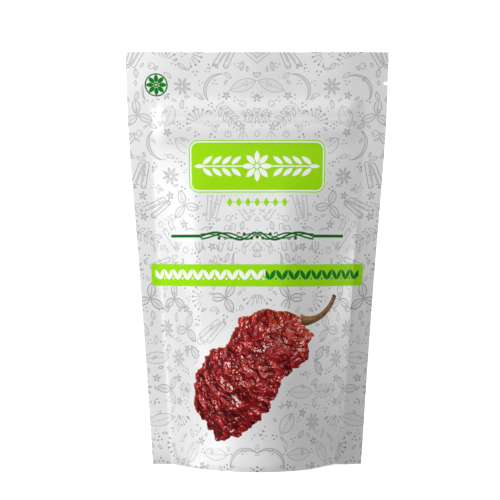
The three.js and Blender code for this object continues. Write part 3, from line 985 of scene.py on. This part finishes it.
gussetFilm = finishFilm(bottomGusset("gusset_film"), "bottom_gusset",
                        newMaterial("satin metallised film", bareFilm, "#dedee0", 0.35, 0.38))

# Dried pods, with finer wrinkles than their solids
pods = {"count": 9, "wrinkleDepth": 0.9, "wrinkleSize": 5.5, "finer": 2, "merge": 0.02,
        "stemFrom": (0.745, 0.8)}  # shares of the length


def driedPod(source):
    tree = source["Geometry"].id_data
    finer = node("GeometryNodeSubdivisionSurface", source["Geometry"], pods["finer"])
    body = node("SUBTRACT", 1.0, node(attributes, "stem", data_type="FLOAT", tree=tree))
    return dented(source, finer, node("GeometryNodeInputPosition", tree=tree), body, 2.0)


podSkin = newMaterial("dried chilli skin", driedSkin)
podGroup = shapeTree("driedPod", dentSizes, driedPod)
for number in range(1, pods["count"] + 1):
    cadNode = f"chilli_pod_{number}"
    made = addObject(f"dried_pod_{number}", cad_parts[cadNode].data.copy())
    made.data.materials.clear()
    points = np.array([corner.co for corner in made.data.vertices])
    reach = points[:, 0] * (-1 if number % 2 else 1)  # towards the stem, to the left on every other pod
    share = (reach - reach.min()) / (reach.max() - reach.min())
    stemShare = smooth(share, *pods["stemFrom"])
    made.data.attributes.new("stem", "FLOAT", "POINT").data.foreach_set("value", stemShare)
    made.modifiers.new("merged", "WELD").merge_threshold = pods["merge"] * mm
    growNodes(made, podGroup, {"Depth": pods["wrinkleDepth"] * mm, "Size": pods["wrinkleSize"] * mm,
                               "Seed": float(number), "Material": podSkin})
    plainPiece(made, f"dried_pod_{number}")
    made.data.shade_smooth()
    standsFor(made, cadNode)
print("pods ready")


# Press-to-close zip: two extruded strips, each swept along the zip's line
zipStrip = {
    "halfLength": 49, "points": 50,
    "flange": ((1.15, -5.5), (0.9, -5.5)),  # from the pouch's middle outwards, and up from the zip's middle
    "ridge": ((0.9, -0.25), (-0.05, -0.25), (-0.05, -0.55), (-0.45, -0.2), (-0.45, 0.2), (-0.05, 0.55),
              (-0.05, 0.25), (0.9, 0.25)),
    "hook": ((0.9, 0.75), (-0.1, 0.75), (-0.1, 0.35), (-0.4, 0.35), (-0.4, 1.15), (0.9, 1.15)),
}


def upsideDown(outline):
    return [(y, -z) for y, z in outline[::-1]]


def sweptStrip(source):
    left = node("MULTIPLY", source["Half length"], -1.0)
    line = node("GeometryNodeCurvePrimitiveLine",
                *[node(joins, x, 0.0, source["Height"]) for x in (source["Half length"], left)])
    path = node("GeometryNodeResampleCurve", line, named={"Count": source["Points"]})
    profile = node("GeometryNodeMeshToCurve", source["Geometry"])
    return node("GeometryNodeCurveToMesh", path, named={"Profile Curve": profile, "Fill Caps": True})


stripGroup = shapeTree("zipStrip", {"Half length": "Float", "Height": "Float", "Points": "Int"}, sweptStrip)
milky = newMaterial("milky polythene", zipPlastic)
tracks = {"zip_ridge": zipStrip["ridge"], "zip_groove": (*upsideDown(zipStrip["hook"]), *zipStrip["hook"])}
for side, (name, track) in zip((-1, 1), tracks.items()):
    outline = [*zipStrip["flange"], *track, *upsideDown(zipStrip["flange"])]
    profile = bpy.data.meshes.new(name)
    profile.from_pydata([(side * y * mm, z * mm, 0) for y, z in outline],
                        [(i, (i + 1) % len(outline)) for i in range(len(outline))], [])
    made = addObject(name, profile)
    growNodes(made, stripGroup, {
        "Half length": zipStrip["halfLength"] * mm, "Height": pouch["zipHeight"] * mm,
        "Points": zipStrip["points"], "Material": milky})
    plainPiece(made, name)
    if sum(face.center.dot(face.normal) * face.area for face in made.data.polygons) < 0:
        made.data.flip_normals()
    standsFor(made, f"{name}_strip")
print("zip ready")


# Studio: a pale floor that curves up into a backdrop, soft lights left and in front, weak ones at the right
studio = {"half": 2.2, "front": 1.6, "back": 1.1, "curve": 0.6, "curveSteps": 24, "height": 2.2, "world": 0.3}
lights = {  # place, aim and size in metres, and power
    "left window": ((-0.25, -0.12, 0.12), (0, 0, 0.11), (0.1, 0.4), 0.255),
    "left front": ((-0.2, -0.2, 0.12), (0, 0, 0.11), (0.1, 0.4), 0.16),
    "left high": ((-0.22, -0.17, 0.26), (0, 0, 0.17), (0.17, 0.12), 0.16),
    "floor card": ((-0.047, -0.026, 0.001), (-0.047, -0.0259, 1), (0.04, 0.026), 0.0024),
    "wide floor card": ((-0.03, -0.045, 0.001), (-0.03, -0.0449, 1), (0.1, 0.02), 0.004),
    "front canopy": ((0.0, -0.42, 0.5), (0, 0, 0.11), (0.4, 0.2), 0.635),
    "camera side": ((0.0, -0.9, 0.3), (0, 0, 0.11), (0.3, 0.2), 0.46),
    "right edge": ((0.2, 0.0, 0.14), (0.05, -0.01, 0.12), (0.02, 0.16), 0.066),
    "right back": ((0.2, 0.05, 0.12), (0.05, 0, 0.1), (0.02, 0.1), 0.08),
    "top panel": ((0.0, 0.35, 0.7), (0, 0.35, 0.0), (1.0, 0.8), 3),
    "backdrop glow": ((0.0, 0.5, 1.3), (0, 1.6, 0.3), (2.0, 0.6), 19),
}
shadowless = ("right edge", "right back")  # or the right seal would shade the film beside it


def backdrop():
    profile = [(-studio["front"], 0.0)]
    for angle in np.linspace(0, math.pi / 2, studio["curveSteps"] + 1):
        rise = studio["curve"] * (1 - math.cos(angle))
        profile.append((studio["back"] + studio["curve"] * math.sin(angle), rise))
    profile.append((studio["back"] + studio["curve"], studio["height"]))
    points = [(x, y, z) for y, z in profile for x in (-studio["half"], studio["half"])]
    quads = [(2 * i, 2 * i + 1, 2 * i + 3, 2 * i + 2) for i in range(len(profile) - 1)]
    mesh = bpy.data.meshes.new("floor")
    mesh.from_pydata(points, [], quads)
    mesh.shade_smooth()
    mesh.materials.append(newMaterial("matt white paper", whitePaper))
    floor = addObject("floor", mesh)
    floor.visible_diffuse = floor.visible_glossy = floor.visible_shadow = False  # it lights no film


def softLight(name, place, aim, size, power):
    data = bpy.data.lights.new(name, "AREA")
    data.shape = "RECTANGLE"
    data.size, data.size_y = size
    data.energy = power
    data.use_shadow = name not in shadowless
    made = addObject(name, data)
    made.location = place
    made.rotation_euler = (Vector(aim) - Vector(place)).to_track_quat("-Z", "Y").to_euler()


backdrop()
for name, setting in lights.items():
    softLight(name, *setting)
world = bpy.data.worlds.new("studio")
world.use_nodes = True
world.node_tree.nodes["Background"].inputs["Color"].default_value = (1, 1, 1, 1)
world.node_tree.nodes["Background"].inputs["Strength"].default_value = studio["world"]
bpy.context.scene.world = world
print("studio ready")
